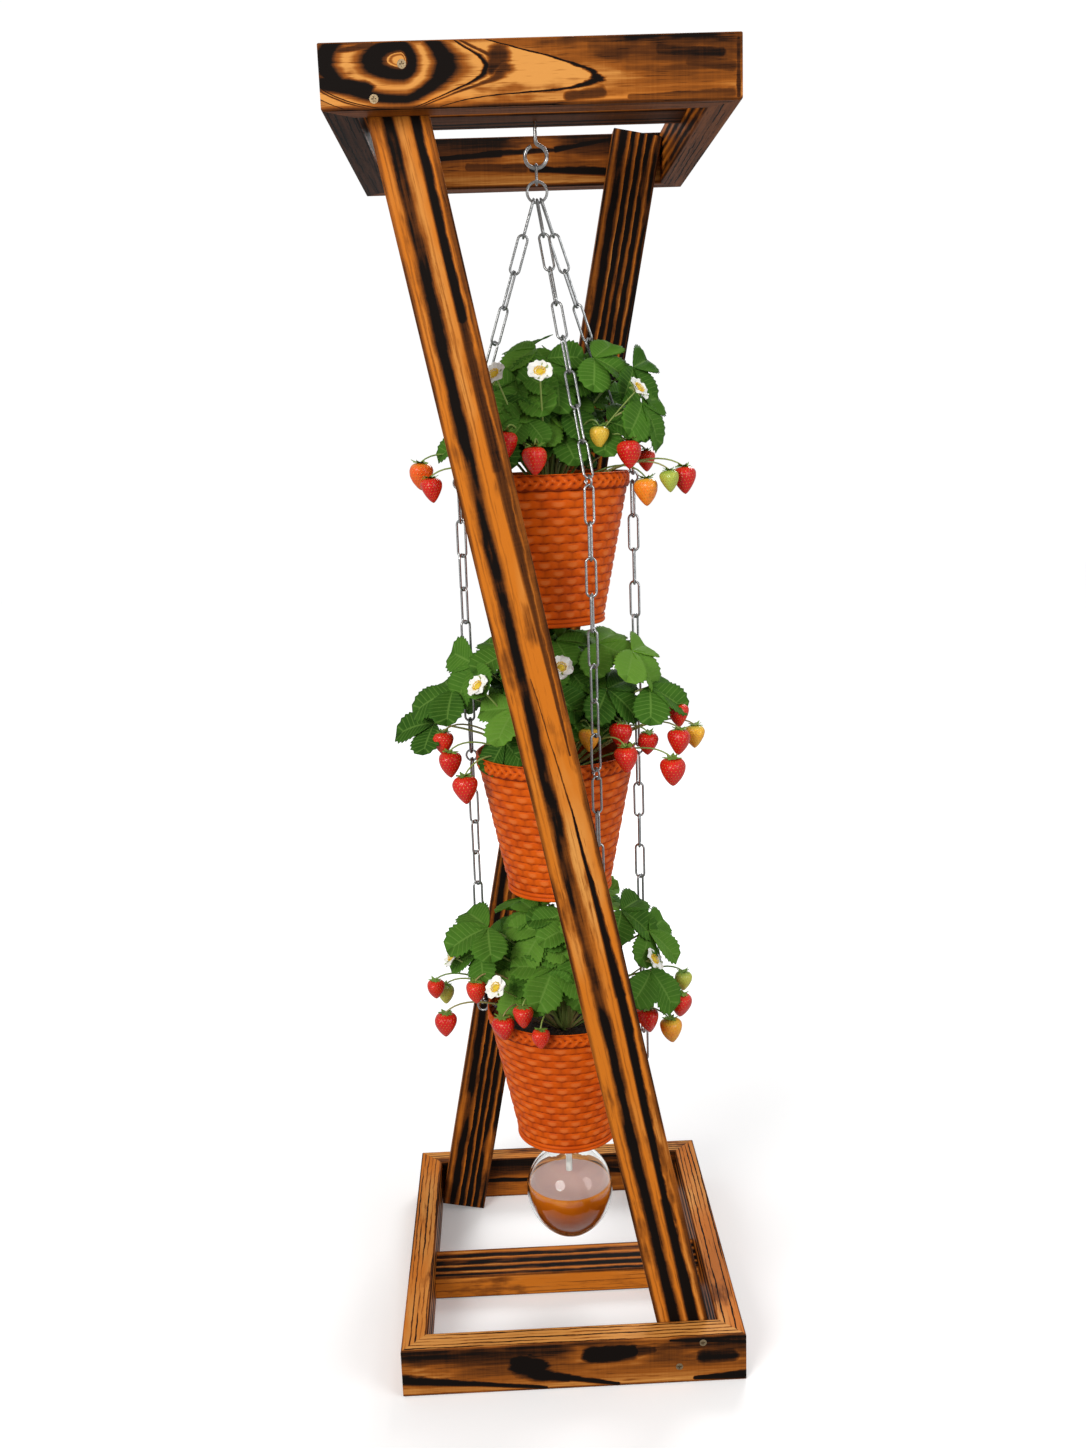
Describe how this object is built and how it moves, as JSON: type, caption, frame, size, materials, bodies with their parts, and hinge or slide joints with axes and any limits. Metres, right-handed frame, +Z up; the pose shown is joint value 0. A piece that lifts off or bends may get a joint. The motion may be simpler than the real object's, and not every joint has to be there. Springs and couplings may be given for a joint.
{
  "type": "hanging plant stand",
  "caption": "Charred-timber plant stand with crossed posts; basket-look pots of strawberry plants hang in tiers on chains, with a drip globe under the lowest pot.",
  "frame": {"origin": "middle of the base frame, on the floor", "axes": "+X to the right and +Y to the back as seen from the front, +Z up"},
  "size_m": [0.4, 0.44, 1.45],
  "materials": {
    "charred_timber": "flame-charred and brushed softwood under clear varnish",
    "steel_screw": "zinc-plated wood screws",
    "steel_chain": "galvanised wire",
    "basket_plastic": "terracotta plastic moulded like wicker",
    "soil": "loose bark compost",
    "leaf": "veined green leaves and stalks",
    "berry": "glossy strawberries, ripe and unripe",
    "petal": "thin white petals with yellow hearts",
    "collar_plastic": "grey moulded plastic",
    "tube_plastic": "translucent plastic tube",
    "clear_glass": "clear glass",
    "water": "amber-tinted water"
  },
  "bodies": {
    "stand": {"base_front_rail": "charred_timber", "base_back_rail": "charred_timber", "base_left_rail": "charred_timber", "base_right_rail": "charred_timber", "top_front_rail": "charred_timber", "top_back_rail": "charred_timber", "top_left_rail": "charred_timber", "top_right_rail": "charred_timber", "base_cross_rail": "charred_timber", "top_cross_rail": "charred_timber", "front_post": "charred_timber", "rear_post": "charred_timber", "base_corner_screws": "steel_screw", "top_corner_screws": "steel_screw", "cross_rail_screws": "steel_screw", "front_post_screws": "steel_screw", "rear_post_screws": "steel_screw", "screw_eye": "steel_chain"},
    "hanger": {"hanger_link": "steel_chain"},
    "gather": {"gather_ring": "steel_chain"},
    "upper_tier": {"upper_chain_left": "steel_chain", "upper_chain_front": "steel_chain", "upper_chain_right": "steel_chain", "upper_rim_eyes": "steel_chain", "upper_rim_nuts": "steel_chain", "upper_pot": "basket_plastic", "upper_soil": "soil", "upper_leaves": "leaf", "upper_berries": "berry", "upper_flowers": "petal"},
    "middle_left_strand": {"middle_chain_left": "steel_chain"},
    "middle_front_strand": {"middle_chain_front": "steel_chain"},
    "middle_right_strand": {"middle_chain_right": "steel_chain"},
    "middle_tier": {"middle_rim_eyes": "steel_chain", "middle_rim_nuts": "steel_chain", "middle_pot": "basket_plastic", "middle_soil": "soil", "middle_leaves": "leaf", "middle_berries": "berry", "middle_flowers": "petal"},
    "lower_left_strand": {"lower_chain_left": "steel_chain"},
    "lower_front_strand": {"lower_chain_front": "steel_chain"},
    "lower_right_strand": {"lower_chain_right": "steel_chain"},
    "lower_tier": {"lower_rim_eyes": "steel_chain", "lower_rim_nuts": "steel_chain", "lower_pot": "basket_plastic", "lower_soil": "soil", "lower_leaves": "leaf", "lower_berries": "berry", "lower_flowers": "petal", "chain_tail": "steel_chain", "drain_collar": "collar_plastic", "drip_tube": "tube_plastic"},
    "globe": {"globe": "clear_glass", "globe_water": "water"}
  },
  "joints": [
    {"name": "front_swing", "type": "hinge", "parent": "stand", "child": "hanger", "pos_m": [0.008, -0.02, 1.37417], "axis": [1, 0, 0], "range_deg": [-1, 1]},
    {"name": "side_swing", "type": "hinge", "parent": "hanger", "child": "gather", "pos_m": [0.008, -0.02, 1.35652], "axis": [0, 1, 0], "range_deg": [-6, 6]},
    {"name": "planter_twist", "type": "hinge", "parent": "gather", "child": "upper_tier", "pos_m": [0.008, -0.02, 1.3362], "axis": [0, 0, 1], "range_deg": [-10, 10]},
    {"name": "middle_swing", "type": "hinge", "parent": "upper_tier", "child": "middle_left_strand", "pos_m": [-0.09333, 0.0034, 1.02954], "axis": [0, 1, 0], "range_deg": [-4, 4]},
    {"name": "middle_front_swing", "type": "hinge", "parent": "upper_tier", "child": "middle_front_strand", "pos_m": [0.0503, -0.11501, 1.02954], "axis": [0, 1, 0], "range_deg": [-4, 4]},
    {"name": "middle_right_swing", "type": "hinge", "parent": "upper_tier", "child": "middle_right_strand", "pos_m": [0.10933, 0.0034, 1.02954], "axis": [0, 1, 0], "range_deg": [-4, 4]},
    {"name": "middle_level", "type": "hinge", "parent": "middle_left_strand", "child": "middle_tier", "pos_m": [-0.09333, 0.0034, 0.71394], "axis": [0, 1, 0], "range_deg": [-4, 4]},
    {"name": "lower_swing", "type": "hinge", "parent": "middle_tier", "child": "lower_left_strand", "pos_m": [-0.09333, 0.0034, 0.70389], "axis": [0, 1, 0], "range_deg": [-4, 4]},
    {"name": "lower_front_swing", "type": "hinge", "parent": "middle_tier", "child": "lower_front_strand", "pos_m": [0.0503, -0.11501, 0.70389], "axis": [0, 1, 0], "range_deg": [-4, 4]},
    {"name": "lower_right_swing", "type": "hinge", "parent": "middle_tier", "child": "lower_right_strand", "pos_m": [0.10933, 0.0034, 0.70389], "axis": [0, 1, 0], "range_deg": [-4, 4]},
    {"name": "lower_level", "type": "hinge", "parent": "lower_left_strand", "child": "lower_tier", "pos_m": [-0.09333, 0.0034, 0.38829], "axis": [0, 1, 0], "range_deg": [-4, 4]},
    {"name": "globe_twist", "type": "hinge", "parent": "lower_tier", "child": "globe", "pos_m": [0.008, -0.02, 0.13916], "axis": [0, 0, 1], "range_deg": [0, 60]}
  ],
  "couplings": [
    {"joint": "middle_front_swing", "follows": "middle_swing", "ratio": 1},
    {"joint": "middle_right_swing", "follows": "middle_swing", "ratio": 1},
    {"joint": "middle_level", "follows": "middle_swing", "ratio": -1},
    {"joint": "lower_front_swing", "follows": "lower_swing", "ratio": 1},
    {"joint": "lower_right_swing", "follows": "lower_swing", "ratio": 1},
    {"joint": "lower_level", "follows": "lower_swing", "ratio": -1}
  ]
}
